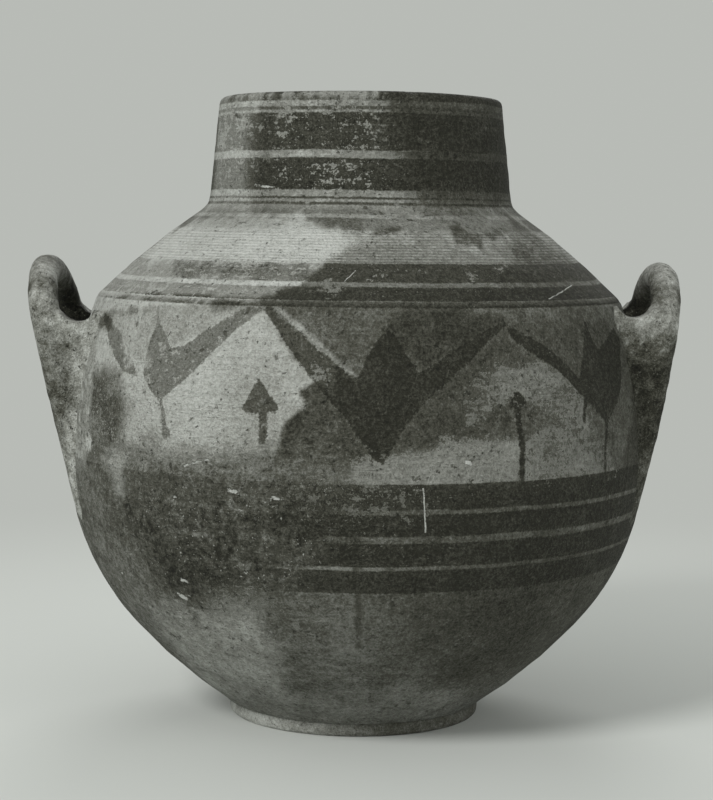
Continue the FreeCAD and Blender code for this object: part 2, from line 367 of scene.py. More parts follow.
# Scratches and chips through the skin, each a short stroke
scratches = {
    "neckFibre": [(254, 185, 1.0), (264, 186, 1.2), (276, 188, 0.8)],
    "chipA": [(178, 594, 1.5), (183, 597, 2.3), (187, 599, 1.6)],
    "chipB": [(182, 580, 1.8), (188, 582, 1.2)],
    "chipC": [(229, 490, 1.4), (236, 492, 1.6)],
    "chipD": [(273, 497, 1.5), (278, 499, 1.7)],
    "chipE": [(174, 497, 1.3), (175, 497, 1.2)],
    "chipF": [(467, 462, 1.9), (471, 464, 1.3)],
    "chipG": [(184, 466, 0.8), (197, 462, 0.7), (210, 459, 0.6)],
    "chipH": [(121, 573, 1.2), (122, 573, 1.0)],
    "chipI": [(118, 487, 1.4), (119, 488, 1.2)],
}
# Straight fine cuts: both ends and the half width in mm
cuts = {
    "tall": [(423.2, 487.5), (425.6, 533.5), 0.5],
    "shoulderLeft": [(344, 282), (356, 270), 0.28],
    "shoulderRight": [(549, 299), (572, 285), 0.28],
}
# Pale crust over the ground, and specks of it over the bands too: an outline in the photograph's pixels, how
# thick it lies in mm, and how fast it thins outside
crusts = {
    "strip": ([(357, 466), (384, 463), (413, 458), (434, 454), (449, 444), (470, 447), (489, 443), (519, 443),
        (523, 484), (357, 487)], 2.9, 1.0),
    "stripRight": ([(523, 446), (536, 435), (548, 428), (569, 433), (580, 446), (606, 440), (614, 476),
        (523, 484)], 1.0, 1.0),
    "round": ([(468, 387), (481, 376), (502, 366), (540, 361), (569, 376), (586, 389), (582, 410), (592, 427),
        (600, 436), (586, 442), (569, 428), (550, 412), (536, 403), (519, 396), (498, 400), (484, 414), (468, 424),
        (464, 406)], -0.6, 1.0),
    "roundHeart": ([(484, 386), (504, 371), (540, 368), (562, 380), (548, 394), (519, 392), (498, 396)], 1.2, 0.5),
}
specks = {
    "bandTopLeft": ([(330, 480), (396, 488), (398, 498), (380, 508), (340, 508), (310, 500)], -0.9, 0.2),
    "bandMiddle": ([(380, 490), (436, 490), (440, 506), (400, 514)], -2.6, 0.2),
    "handleShade": ([(88, 384), (116, 380), (120, 436), (90, 440)], -1.6, 0.3),
    "lowLeft": ([(209, 588), (262, 586), (268, 602), (214, 608)], -2.0, 0.3),
    "neckMiddle": ([(286, 118), (366, 118), (372, 184), (280, 184)], -3.1, 0.1),
    "shoulder": ([(330, 262), (500, 262), (520, 290), (330, 296)], -3.8, 0.2),
}


def area(outline, soft, **marks):
    return {"outline": outline, "soft": soft, **marks}


# Patches of the wall, each an outline, how soft its edge is in mm, and what it changes: tone, how light the
# bare clay is; slip, how light the paint lies on it; worn, how much of the paint is gone; cover, how far stain
# hides what the bands leave bare; and grit. Later patches lie over earlier ones.
patches = {
    "neckMiddle": area([(268, 90), (412, 92), (416, 190), (268, 190)], 28, tone=.52, slip=.215, worn=.26,
        grit=1.2),
    "neckLeft": area([(205, 90), (262, 90), (252, 140), (240, 213), (200, 213)], 26, tone=.66, slip=.45, worn=.38,
        grit=.7),
    "neckRight": area([(392, 90), (510, 92), (515, 206), (425, 206), (405, 160)], 26, tone=.31, slip=.19, worn=.12,
        cover=.7, grit=.6),
    "lipLeft": area([(208, 86), (376, 88), (376, 97), (208, 99)], 5, tone=.60, slip=.50, worn=.5, grit=.9),
    "bandsTopRight": area([(480, 270), (600, 284), (616, 318), (470, 314)], 6, tone=.36, slip=.145, worn=.1,
        grit=.8),
    "shoulderLeft": area([(90, 300), (130, 262), (200, 216), (300, 214), (362, 244), (325, 262), (298, 280),
        (274, 294)], 3, tone=.665, slip=.47, worn=.40, grit=.6),
    "combLeft": area([(170, 232), (300, 226), (365, 238), (300, 262), (150, 262)], 6, tone=.70, slip=.5, worn=.6,
        grit=.15),
    "shoulderRight": area([(357, 211), (515, 214), (560, 262), (500, 258), (455, 244), (400, 246), (357, 246)], 6,
        tone=.55, slip=.24, worn=.5, grit=1.1),
    "clotLeft": area([(378, 225), (402, 228), (396, 237), (372, 238)], 2, tone=.36, worn=.1, slip=.2),
    "clotRight": area([(452, 229), (502, 232), (498, 244), (458, 243)], 3, tone=.36, worn=.1, slip=.2),
    "shoulderRightEdge": area([(505, 214), (620, 290), (560, 286), (512, 258)], 7, tone=.36, worn=.25, slip=.17,
        grit=1.0),
    "bandShadeLeft": area([(176, 262), (240, 260), (304, 262), (304, 280), (240, 284), (176, 276)], 5, slip=.30,
        worn=.3, grit=1.6),
    "cornerLineLeft": area([(92, 288), (130, 292), (200, 297), (264, 301), (264, 306), (200, 302), (130, 297),
        (92, 293)], 1.6, slip=.19, worn=.3, grit=1.4),
    "friezeLeft": area([(70, 312), (264, 309), (281, 335), (316, 382), (302, 392), (306, 408), (286, 422),
        (276, 432), (273, 456), (230, 470), (150, 470), (90, 440)], 2.2, tone=.635, slip=.40, worn=.26, grit=.3),
    "friezeLeftTop": area([(110, 312), (258, 309), (215, 324), (186, 344), (172, 346), (158, 318), (146, 350),
        (110, 330)], 4, tone=.56, slip=.40, worn=.25, grit=.4),
    "arrowGround": area([(236, 374), (284, 374), (284, 446), (236, 446)], 6, tone=.60, slip=.30, worn=.12,
        grit=.3),
    "leftOfMiddleStroke": area([(264, 308), (300, 330), (340, 362), (330, 400), (300, 362), (276, 330)], 3,
        tone=.57, slip=.26, worn=.2, grit=.6),
    "friezeLeftLow": area([(110, 446), (273, 446), (290, 470), (285, 486), (120, 486)], 10, tone=.47, worn=.3,
        slip=.32, grit=.6),
    "betweenStrokes": area([(268, 308), (395, 308), (388, 329), (366, 358), (356, 378), (330, 358), (298, 330)],
        1.5, tone=.33, slip=.2, worn=.1, grit=.6),
    "besideStroke": area([(272, 308), (278, 307), (300, 325), (322, 342), (354, 373), (351, 377), (318, 347),
        (296, 330)], 1.3, tone=.50, slip=.36, worn=.5, grit=1.0),
    "betweenStrokesRight": area([(388, 308), (505, 318), (476, 336), (424, 370), (398, 341), (386, 329)], 2,
        tone=.245, slip=.14, worn=.05, grit=.4),
    "friezeMiddle": area([(316, 384), (344, 416), (378, 466), (356, 470), (296, 486), (276, 462), (286, 422),
        (306, 408), (302, 392)], 2, tone=.285, slip=.165, worn=.1, grit=.8),
    "friezeRight": area([(428, 403), (507, 327), (580, 393), (580, 440), (480, 446), (400, 450), (394, 446)], 2,
        tone=.285, slip=.15, worn=.1, grit=.5),
    "friezeRightTop": area([(508, 324), (610, 318), (612, 380), (580, 384), (547, 347)], 2, tone=.29, slip=.155,
        worn=.1, grit=.5),
    "underRightStroke": area([(510, 332), (556, 366), (580, 392), (560, 372), (500, 340)], 5, tone=.38, slip=.16,
        worn=.08, grit=.4),
    "paleRound": area([(470, 385), (500, 366), (545, 370), (578, 400), (583, 432), (530, 436), (505, 420),
        (470, 430), (484, 404)], 9, tone=.33, slip=.17, worn=.15, grit=1.2),
    "paleStrip": area([(357, 469), (394, 457), (436, 456), (470, 444), (520, 441), (524, 484), (357, 486)], 5,
        tone=.36, worn=.2, slip=.19, grit=.9),
    "paleStripRight": area([(524, 432), (612, 428), (618, 470), (524, 481)], 5, tone=.31, worn=.15, slip=.16,
        grit=.6),
    "besideHandleRight": area([(624, 318), (650, 316), (654, 470), (618, 478)], 4, tone=.25, slip=.16, worn=.15,
        grit=.8),
    "handleShadeLeft": area([(78, 392), (98, 372), (119, 376), (125, 405), (120, 440), (104, 450), (80, 448)], 9,
        tone=.40, slip=.21, worn=.30, cover=.8, grit=1.9),
    "gapLeft": area([(126, 322), (147, 322), (146, 366), (128, 366)], 4, tone=.60, worn=.7, slip=.5),
    "edgeLeft": area([(70, 330), (99, 330), (90, 400), (90, 480), (70, 480)], 5, tone=.54, worn=.5, slip=.4),
    "fadeLowLeft": area([(112, 458), (352, 470), (352, 505), (112, 500)], 11, tone=.39, slip=.32, worn=.2,
        grit=1.2),
    "stainLowLeft": area([(108, 488), (330, 490), (325, 560), (290, 598), (236, 600), (206, 636), (150, 600),
        (112, 545)], 11, tone=.335, slip=.285, worn=.3, cover=.4, grit=1.9),
    "blotchLowLeft": area([(160, 545), (225, 540), (232, 590), (205, 636), (165, 600)], 9, tone=.25, slip=.22,
        worn=.2, cover=.4, grit=1.6),
    "blotchUnderFrieze": area([(280, 492), (350, 486), (356, 530), (300, 540), (262, 520)], 9, tone=.24, slip=.2,
        worn=.15, cover=.3, grit=1.4),
    "paleLowLeft": area([(100, 455), (124, 458), (124, 500), (104, 498)], 6, tone=.55, worn=.65, slip=.35,
        grit=.6),
    "bandsMiddle": area([(340, 488), (440, 490), (440, 560), (340, 560)], 14, slip=.18, worn=.2, grit=1.1),
    "lineWornLeft": area([(262, 566), (350, 563), (364, 567), (350, 573), (262, 571)], 4, tone=.45, slip=.2,
        worn=.15, grit=.6),
    "edgeLowLeft": area([(60, 462), (106, 462), (122, 510), (148, 560), (178, 604), (140, 620), (80, 560)], 7,
        tone=.36, slip=.34, worn=.9, grit=1.0),
    "bowlLeft": area([(150, 610), (262, 606), (290, 668), (300, 716), (230, 712)], 18, tone=.55, slip=.3, worn=.5,
        grit=.8),
    "bowlMiddle": area([(262, 600), (360, 598), (370, 690), (300, 690)], 20, tone=.395, slip=.25, worn=.3,
        grit=.7),
    "bowlRight": area([(400, 600), (620, 560), (560, 660), (430, 690)], 18, tone=.27, slip=.175, worn=.15,
        grit=.5),
    "bowlLow": area([(250, 690), (450, 690), (480, 716), (240, 716)], 9, tone=.46, slip=.3, worn=.3, grit=.7),
}


# The wall where no patch lies: each mark as (height, value) pairs
wallBase = {
    "tone": [(0, .42), (60, .36), (115, .32), (150, .34), (292, .34), (310, .46), (345, .52), (360, .50)],
    "worn": [(0, .12), (292, .12), (300, .2)],
    "cover": [(0, 0.0)],
    "slip": [(0, 0.175)],
    "grit": [(0, 0.4)],
}
# Lumps as (how high, how large) in mm, or in light for the tone
brush = {
    "figureRagged": [(1.1, 4.5), (0.8, 2.6)],
    "patchRagged": [(5, 22), (4, 11), (2.5, 5)],
    "mottle": [(0.03, 60), (0.025, 25)],
    "backTurn": (1.6, 2.2),  # radians from the front where the wall starts and ends being the back
    "backAlong": [(14, 90)],
    "backUp": [(2, 120)],
    "backShift": 9,
    "backPatches": 0.55,  # how much fainter the patches are there
    "backScratch": 20,  # mm that scratches and crust draw back there
    "backCrust": 2.5,
    "readAt": 200,  # radius at which the lumps are read
    "outside": (0.8, 2.4),  # mm within the outer face where the inside's plain clay starts and is full
    "lipTop": (427.5, 429),  # heights where the lip counts as outside all the way in
    "bare": 0.34,
    "ringPaler": 0.27,
    "ringSide": (0.3, -0.8),  # from where to where round the foot ring it grows paler
}


def nearestMark(distance, places, marks):
    far = np.full(len(places), 99.0)
    return functools.reduce(np.minimum, (distance(places, mark) for mark in marks.values()), far)


def crustDistance(places, crust):
    outline, thick, thins = crust
    return np.maximum(outlineDistance(places, outline) * thins, 0) - thick


# What the painter and the years left at each place of the wall. The back is the front, mirrored and shifted.
def paintedWall(turn, height):
    mirrored = np.where(np.abs(turn) > math.pi / 2, np.sign(turn) * math.pi - turn, turn)
    places = np.stack([mirrored * unrolled, height], axis=-1)
    back = ease(*brush["backTurn"], np.abs(turn))
    radius = brush["readAt"]
    solid = np.stack([np.sin(turn) * radius, -np.cos(turn) * radius, height], axis=-1)
    places[:, 0] += back * (layered(solid, brush["backAlong"], 31) + brush["backShift"])
    places[:, 1] += back * layered(solid, brush["backUp"], 32)
    ragged = layered(solid, brush["figureRagged"], 33)
    rough = layered(solid, brush["patchRagged"], 35)
    marks = {name: np.interp(height, *zip(*base)) for name, base in wallBase.items()}
    for given in patches.values():
        soft = given["soft"]
        away = outlineDistance(places, given["outline"]) + rough * min(1, soft / 5)
        share = ease(soft, -soft, away) * (1 - brush["backPatches"] * back)
        for name, wanted in {"cover": 0.0, **given}.items():
            if name in marks:
                marks[name] += (wanted - marks[name]) * share
    marks["tone"] += layered(solid, brush["mottle"], 41)
    figure = np.minimum(nearestMark(outlineDistance, places, figures), nearestMark(strokeDistance, places, strokes))
    marks["figure"] = figure + ragged * 0.5
    marks["drip"] = nearestMark(strokeDistance, places, drips) + ragged
    marks["scratch"] = nearestMark(strokeDistance, places, scratches) + back * brush["backScratch"]
    marks["crust"] = nearestMark(crustDistance, places, crusts) + back * brush["backCrust"]
    marks["specks"] = nearestMark(crustDistance, places, specks) + back * brush["backCrust"]
    return marks


def newPiece(name, places, faces, nodes, material):
    mesh = bpy.data.meshes.new(name)
    mesh.from_pydata((places / 1000).tolist(), [], faces)
    mesh.shade_smooth()
    mesh.set_sharp_from_angle(angle=math.radians(42))
    piece = bpy.data.objects.new(name, mesh)
    bpy.context.scene.collection.objects.link(piece)
    mesh.materials.append(material)
    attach(piece, "root")
    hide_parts(*nodes)
    return piece


def setAttribute(piece, name, values):
    attribute = piece.data.attributes.new(name, "FLOAT", "POINT")
    attribute.data.foreach_set("value", np.asarray(values, np.float32))


def dropLoosePoints(mesh):
    bm = bmesh.new()
    bm.from_mesh(mesh)
    bmesh.ops.delete(bm, geom=[vert for vert in bm.verts if not vert.link_faces], context="VERTS")
    bm.to_mesh(mesh)
    bm.free()


# One thrown section as a closed turned skin. A section that reaches the axis is open there in its outline.
def turnedPiece(name, slot, material):
    outline = outlines[name]
    onAxis = outline[0][0] == 0
    parts = turning["seamRows"]
    rows = []
    for a, b in edgesOf(outline):
        straight = [tuple(np.array(a) + (np.array(b) - a) * part / parts) for part in range(parts)]
        rows += fine.get((a, b), straight)
    if onAxis:
        rows.append(outline[-1])
    rows = np.array(rows)
    nextRows = np.roll(rows, -1, axis=0)
    turnsLeft = (rows[:, 0] * nextRows[:, 1] - nextRows[:, 0] * rows[:, 1]).sum() > 0
    columns = turning["columns"]
    turns, radii = np.meshgrid(np.linspace(-math.pi, math.pi, columns, endpoint=False), rows[:, 0])
    turns, radii, heights = turns.ravel(), radii.ravel(), np.repeat(rows[:, 1], columns)
    places = thrownPlaces(turns, radii, heights)
    faces = []
    pairs = list(zip(range(len(rows)), list(range(1, len(rows))) + [0]))
    for low, high in pairs[:-1] if onAxis else pairs:
        for column in range(columns):
            here, beside = low * columns + column, low * columns + (column + 1) % columns
            above, aboveBeside = here + (high - low) * columns, beside + (high - low) * columns
            if rows[low][0] == 0:
                face = [low * columns, aboveBeside, above]
            elif rows[high][0] == 0:
                face = [here, beside, high * columns]
            else:
                face = [here, beside, aboveBeside, above]
            faces.append(face if turnsLeft else face[::-1])
    piece = newPiece(name + "_clay", places, faces, [name], material)
    if onAxis:
        dropLoosePoints(piece.data)
    if slot == "painted_clay":
        for key, values in paintedWall(turns, heights).items():
            setAttribute(piece, key, values)
        outside = 1 - ease(*brush["outside"], outerRadius(heights) - radii)
        setAttribute(piece, "outside", np.maximum(outside, ease(*brush["lipTop"], heights)))
    else:
        paler = ease(*brush["ringSide"], np.sin(turns)) if name == "foot_ring" else np.zeros(turns.size)
        setAttribute(piece, "tone", (brush["bare"] + brush["ringPaler"] * paler)[:len(piece.data.vertices)])
    print(piece.name, len(places), "points", len(faces), "faces")
    return piece


def srgb(*levels):
    return tuple((level / 255 / 12.92 if level <= 10 else ((level / 255 + 0.055) / 1.055) ** 2.4)
                 for level in levels) + (1.0,)


# Node helpers. All but the first three find the material's tree through the sockets they are given.
def newMaterial(name):
    material = bpy.data.materials.new(name)
    material.use_nodes = True
    material.node_tree.nodes.clear()
    return material, material.node_tree


def addNode(tree, kind, inputs=None, **settings):
    node = tree.nodes.new("ShaderNode" + kind)
    for name, value in settings.items():
        setattr(node, name, value)
    for key, value in (inputs or {}).items():
        if isinstance(value, bpy.types.NodeSocket):
            tree.links.new(value, node.inputs[key])
        else:
            node.inputs[key].default_value = value
    return node


def attribute(tree, name):
    return addNode(tree, "Attribute", attribute_name=name).outputs["Fac"]


def treeOf(*values):
    return next(value.id_data for value in values if isinstance(value, bpy.types.NodeSocket))


def calc(operation, first, second=0.0):
    return addNode(treeOf(first, second), "Math", {0: first, 1: second}, operation=operation).outputs[0]


def plus(*terms):
    return functools.reduce(lambda total, term: calc("ADD", total, term), terms)


def minus(first, second):
    return calc("SUBTRACT", first, second)


def times(*factors):
    return functools.reduce(lambda total, factor: calc("MULTIPLY", total, factor), factors)


def most(*values):
    return functools.reduce(lambda largest, value: calc("MAXIMUM", largest, value), values)


def lift(value, amount):  # a noise, moved to swing about 0
    return times(minus(value, 0.5), amount)


def blend(first, second, share):
    return addNode(treeOf(first, second, share), "Mix", {0: share, 2: first, 3: second}).outputs[0]


def step(value, low, high, toLow=0.0, toHigh=1.0):
    limits = {"Value": value, "From Min": low, "From Max": high, "To Min": toLow, "To Max": toHigh}
    return addNode(value.id_data, "MapRange", limits, interpolation_type="SMOOTHSTEP").outputs[0]


def noise(place, perMetre, detail, roughness):
    settings = {"Vector": place, "Scale": perMetre, "Detail": detail, "Roughness": roughness}
    return addNode(place.id_data, "TexNoise", settings).outputs["Fac"]


def colourRamp(value, stops):
    node = addNode(value.id_data, "ValToRGB", {"Fac": value})
    elements = node.color_ramp.elements
    while len(elements) < len(stops):
        elements.new(0.5)
    for element, (position, colour) in zip(elements, stops):
        element.position = position
        element.color = colour
    return node.outputs["Color"]


# Colours of the clay from dark slip to bare, by how light they look
clayShades = [(0.0, (8, 8, 4)), (0.18, (45, 45, 36)), (0.33, (84, 84, 75)), (0.44, (119, 120, 113)),
              (0.54, (148, 149, 142)), (0.68, (187, 189, 183)), (1.0, (236, 238, 232))]
# The noises that every clay has: features per metre, detail, roughness
clayNoises = {
    "grain": (620.0, 2.0, 0.6),
    "dust": (1350.0, 1.0, 0.5),
    "lump": (310.0, 5.0, 0.62),
    "flecks": (540.0, 3.0, 0.7),
    "pits": (330.0, 4.0, 0.7),
}


def finishClay(tree, look, light, relief):
    bump = addNode(tree, "Bump", {"Height": relief, "Strength": look["bump"], "Distance": 0.003})
    shades = colourRamp(light, [(position, srgb(*shade)) for position, shade in clayShades])
    shader = addNode(tree, "BsdfPrincipled", {"Base Color": shades, "Normal": bump.outputs["Normal"],
                                              "Roughness": look["roughness"], "Specular IOR Level": 0.25})
    addNode(tree, "OutputMaterial", {"Surface": shader.outputs[0]})


# Painted bands as (bottom, top, strength), heights in mm, in three zones with their own bottom and top
bandZones = [
    (336.0, 433.0, [(339.6, 347.3, .5), (349.8, 356.0, .4), (356.0, 357.5, .75), (359.6, 361.0, .8),
                    (365.4, 386.1, 1.0), (391.2, 415.8, 1.0), (417.7, 420.0, .65), (423.8, 432.0, .95)]),
    (288.0, 322.0, [(292.2, 296.6, 1.0), (296.6, 304.5, .88), (307.4, 318.8, .78)]),
    (112.0, 190.0, [(115.8, 131.0, .9), (133.5, 148.5, .95), (153.0, 166.8, .97), (169.6, 185.5, .93)]),
]
bandEdge = 0.35  # mm over which a band's edge fades, to each side


def bandRamp(height, low, high, bands):
    stops = [(low, 0.0)]
    for bottom, top, strength in bands:
        if abs(stops[-1][0] - (bottom + bandEdge)) < 1e-6:  # it starts where the one below it ends
            stops[-1] = (bottom - bandEdge, stops[-1][1])
        elif abs(bottom - stops[-1][0]) > bandEdge:
            stops.append((bottom - bandEdge, 0.0))
        stops += [(bottom + bandEdge, strength), (top - bandEdge, strength)]
        if not any(abs(other[0] - top) < 0.1 for other in bands):
            stops.append((top + bandEdge, 0.0))
    share = calc("DIVIDE", minus(height, low), high - low)
    return colourRamp(share, [(min(1.0, max(0.0, (place - low) / (high - low))), (strength, strength, strength, 1))
                              for place, strength in sorted(stops)])


# Light and dark go from 0 to 1 on clayShades. Amounts of noise are how far it swings, in light or in mm.
wallLook = {
    "noises": {"broad": (45.0, 4.0, 0.6), "patch": (190.0, 3.0, 0.6), "pocks": (150.0, 4.0, 0.68),
               "wobble": (26.0, 2.0, 0.5), "ragged": (520.0, 2.0, 0.5)},
    "streak": (420.0, 4.0, 0.68),
    "streakStretch": (0.06, 0.06, 1.0),
    "inside": 0.34,
    "wobble": 1.6,
    "ragged": 1.5,
    "combPitch": 1.75,
    "combBottom": (318.6, 319.8),
    "combTop": (338.6, 337.6),
    "combLight": 0.075,
    "combHold": (0.3, 0.6),
    "figureEdge": (2.4, 0.7),  # swing of the grain, and how soft the edge is
    "dripEdge": (3.0, 1.4),
    "figureStrength": 0.95,
    "dripStrength": 0.6,
    "slipHold": {"broad": 1.3, "patch": 1.5, "grain": 1.1, "streak": 0.9},
    "slipEdge": 0.16,
    "coverHold": (0.42, 0.56, 0.35, 1.0),  # from where to where the broad noise lets thin cover through
    "groundSwing": {"patch": 0.34, "streak": 0.12, "broad": 0.30},
    "slipSwing": {"patch": 0.30, "streak": 0.07, "broad": 0.16},
    "crustSpread": {"broad": 13.0, "patch": 17.0, "grain": 15.0, "streak": 9.0},
    "crustOfTone": 0.6,
    "crust": 0.285,
    "crustLeast": 0.465,
    "crustPatch": 0.30,
    "crustEdge": (0.6, -0.6),
    "speckEdge": (0.6, -0.8),
    "speckStrength": 0.8,
    "fine": {"grain": 0.24, "dust": 0.20, "lump": 0.23},
    "pits": (0.022, 0.365, 0.305, 0.45),  # more of them with grit, where they start, are full, how dark
    "pocks": (0.016, 0.352, 0.312, 0.30),
    "flecks": (0.635, 0.70, 0.56),  # where they start, are full, how strong
    "fleckPale": 0.64,
    "cutPale": 0.86,
    "cutStrength": 0.75,
    "scratchPale": 0.82,
    "scratchEdge": (2.2, 0.35),
    "scratchStrength": 0.8,
    "darkest": 0.06,
    "relief": {"lump": 1.35, "grain": 0.22, "streak": 0.5, "patch": 0.4},
    "roughness": 0.8,
    "bump": 1.0,
}


# A straight cut on the unrolled wall: 1 in it, 0 beside it
def cutMark(start, end, wide, turn, height, noises):
    start, end = np.array(onWall(start)), np.array(onWall(end))
    length = math.dist(start, end)
    run = (end - start) / length
    fromTurn, fromHeight = minus(turn, start[0]), minus(height, start[1])
    down = plus(times(fromTurn, run[0]), times(fromHeight, run[1]))
    aside = minus(times(fromTurn, run[1]), times(fromHeight, run[0]))
    aside = calc("ABSOLUTE", plus(aside, lift(noises["patch"], 1.2)))
    fromMiddle = calc("ABSOLUTE", minus(down, length / 2))
    mark = times(step(aside, wide * 1.5, wide * 0.5), step(fromMiddle, length / 2, length / 2 - 0.7))
    return times(mark, step(noises["grain"], 0.36, 0.46, 0.35, 1.0))


def paintedClay():
    look = wallLook
    material, tree = newMaterial("painted_clay")
    place = addNode(tree, "TexCoord").outputs["Object"]
    x, y, z = addNode(tree, "SeparateXYZ", {0: place}).outputs
    height = times(z, 1000.0)
    turn = times(calc("ARCTAN2", x, times(y, -1.0)), unrolled)
    noises = {name: noise(place, *how) for name, how in {**clayNoises, **look["noises"]}.items()}
    stretched = addNode(tree, "VectorMath", {0: place, 1: look["streakStretch"]}, operation="MULTIPLY").outputs[0]
    noises["streak"] = noise(stretched, *look["streak"])
    broad, patch, grain, streak = (noises[name] for name in ("broad", "patch", "grain", "streak"))
    tone, gritty = attribute(tree, "tone"), attribute(tree, "grit")

    def swing(amounts):
        return plus(*(lift(noises[name], amount) for name, amount in amounts.items()))

    def hollows(name):
        withGrit, start, full, dark = look[name]
        found = step(minus(noises[name], times(gritty, withGrit)), start, full)
        return found, minus(1.0, times(found, dark))

    # what is painted: bands, thin cover, runs and figures, each worn through in patches
    wobble = lift(noises["wobble"], look["wobble"])
    bandHeight = plus(height, wobble, lift(noises["ragged"], look["ragged"]))
    bands = plus(*(bandRamp(bandHeight, *zone) for zone in bandZones))
    covered = times(attribute(tree, "cover"), step(broad, *look["coverHold"]))
    swung, soft = look["dripEdge"]
    drip = step(plus(attribute(tree, "drip"), lift(patch, swung)), soft, -soft)
    swung, soft = look["figureEdge"]
    figure = step(plus(attribute(tree, "figure"), lift(grain, swung)), soft, -soft)
    hold = plus(swing(look["slipHold"]), 0.5)
    kept = step(minus(hold, attribute(tree, "worn")), -look["slipEdge"], look["slipEdge"])
    painted = times(most(bands, covered, times(drip, look["dripStrength"])), kept)
    figure = times(figure, look["figureStrength"], kept)

    # pale crust on the bare ground, and its specks on the bands too
    spread = swing(look["crustSpread"])
    crusted = times(step(plus(attribute(tree, "crust"), spread), *look["crustEdge"]), minus(1.0, painted))
    speck = step(plus(attribute(tree, "specks"), spread), *look["speckEdge"])
    crusted = most(crusted, times(speck, look["speckStrength"]))
    crustTone = most(plus(times(tone, look["crustOfTone"]), look["crust"]), look["crustLeast"])
    crustTone = plus(crustTone, lift(patch, look["crustPatch"]))

    # fine lines cut by the comb under the neck
    comb = calc("SINE", times(plus(height, times(wobble, 0.5)), 2 * math.pi / look["combPitch"]))
    comb = times(comb, step(height, *look["combBottom"]), step(height, *look["combTop"]))
    comb = times(comb, step(patch, *look["combHold"]))

    # how light ground and slip are
    swung = look["groundSwing"]
    patchy = times(lift(patch, swung["patch"]), plus(times(gritty, 0.8), 0.25))
    ground = plus(tone, times(comb, look["combLight"]), patchy, lift(streak, swung["streak"]),
                  times(lift(broad, swung["broad"]), gritty))
    swung = look["slipSwing"]
    slip = plus(attribute(tree, "slip"), lift(broad, swung["broad"]), times(lift(patch, swung["patch"]), gritty),
                lift(streak, swung["streak"]))
    light = blend(blend(ground, slip, painted), crustTone, crusted)
    light = blend(light, slip, figure)
    painted = most(painted, figure)
    light = blend(look["inside"], light, attribute(tree, "outside"))

    # grain in both, dark pits, pale grit, cuts and scratches
    light = plus(light, times(swing(look["fine"]), step(light, 0.2, 0.62, 1.05, 0.78)))
    pits, pitShade = hollows("pits")
    pocks, pockShade = hollows("pocks")
    light = times(light, pitShade, pockShade)
    start, full, strength = look["flecks"]
    grit = times(step(plus(noises["flecks"], lift(broad, 0.25)), start, full), times(gritty, strength))
    light = blend(light, look["fleckPale"], grit)
    cut = most(*(cutMark(*how, turn, height, noises) for how in cuts.values()))
    light = blend(light, look["cutPale"], times(cut, look["cutStrength"]))
    swung, soft = look["scratchEdge"]
    scratch = step(plus(attribute(tree, "scratch"), lift(grain, swung)), soft, -soft)
    light = blend(light, look["scratchPale"], times(scratch, look["scratchStrength"]))
    light = most(light, look["darkest"])

    relief = plus(*(times(noises[name], amount) for name, amount in look["relief"].items()))
    relief = minus(relief, plus(times(pits, 0.3), times(pocks, 0.32)))
    relief = plus(relief, times(painted, 0.04), times(crusted, 0.10))
    relief = minus(relief, times(plus(scratch, cut), 0.25))
    finishClay(tree, look, light, relief)
    return material


plainNoises = {"broad": (42.0, 4.0, 0.65), "patch": (170.0, 3.0, 0.6)}
plainLook = {
    "handle_clay": dict(mottle=0.40, grain=0.30, grit=0.45, bump=1.0, pit=0.5, roughness=0.82),
    "bare_clay": dict(mottle=0.16, grain=0.26, grit=0.2, bump=0.7, pit=0.3, roughness=0.82),
}


def plainClay(name):
    look = plainLook[name]
    material, tree = newMaterial(name)
    place = addNode(tree, "TexCoord").outputs["Object"]
    broad, patch, grain, dust, lump, flecks, pits = (
        noise(place, *how) for how in (*plainNoises.values(), *clayNoises.values()))
    light = plus(attribute(tree, "tone"), lift(broad, look["mottle"] * 1.6), lift(patch, look["mottle"] * 1.2),
                 lift(grain, look["grain"]), lift(dust, look["grain"]))
    light = blend(light, 0.62, times(step(flecks, 0.61, 0.67), look["grit"]))
    # darker in the pits: painted shade in the hollows
    pits = step(pits, 0.39, 0.32)
    light = times(light, minus(1.0, times(pits, look["pit"])))
    relief = plus(times(lump, 0.8), times(grain, 0.2), times(patch, 0.6))
    finishClay(tree, look, light, minus(relief, times(pits, 0.4)))
    return material


clays = {"painted_clay": paintedClay()}
clays.update({name: plainClay(name) for name in ("bare_clay", "handle_clay")})
print("materials made")
for name in wallNodes + ["foot_ring"]:
    slot = "bare_clay" if name in ("base_floor", "foot_ring") else "painted_clay"
    turnedPiece(name, slot, clays[slot])


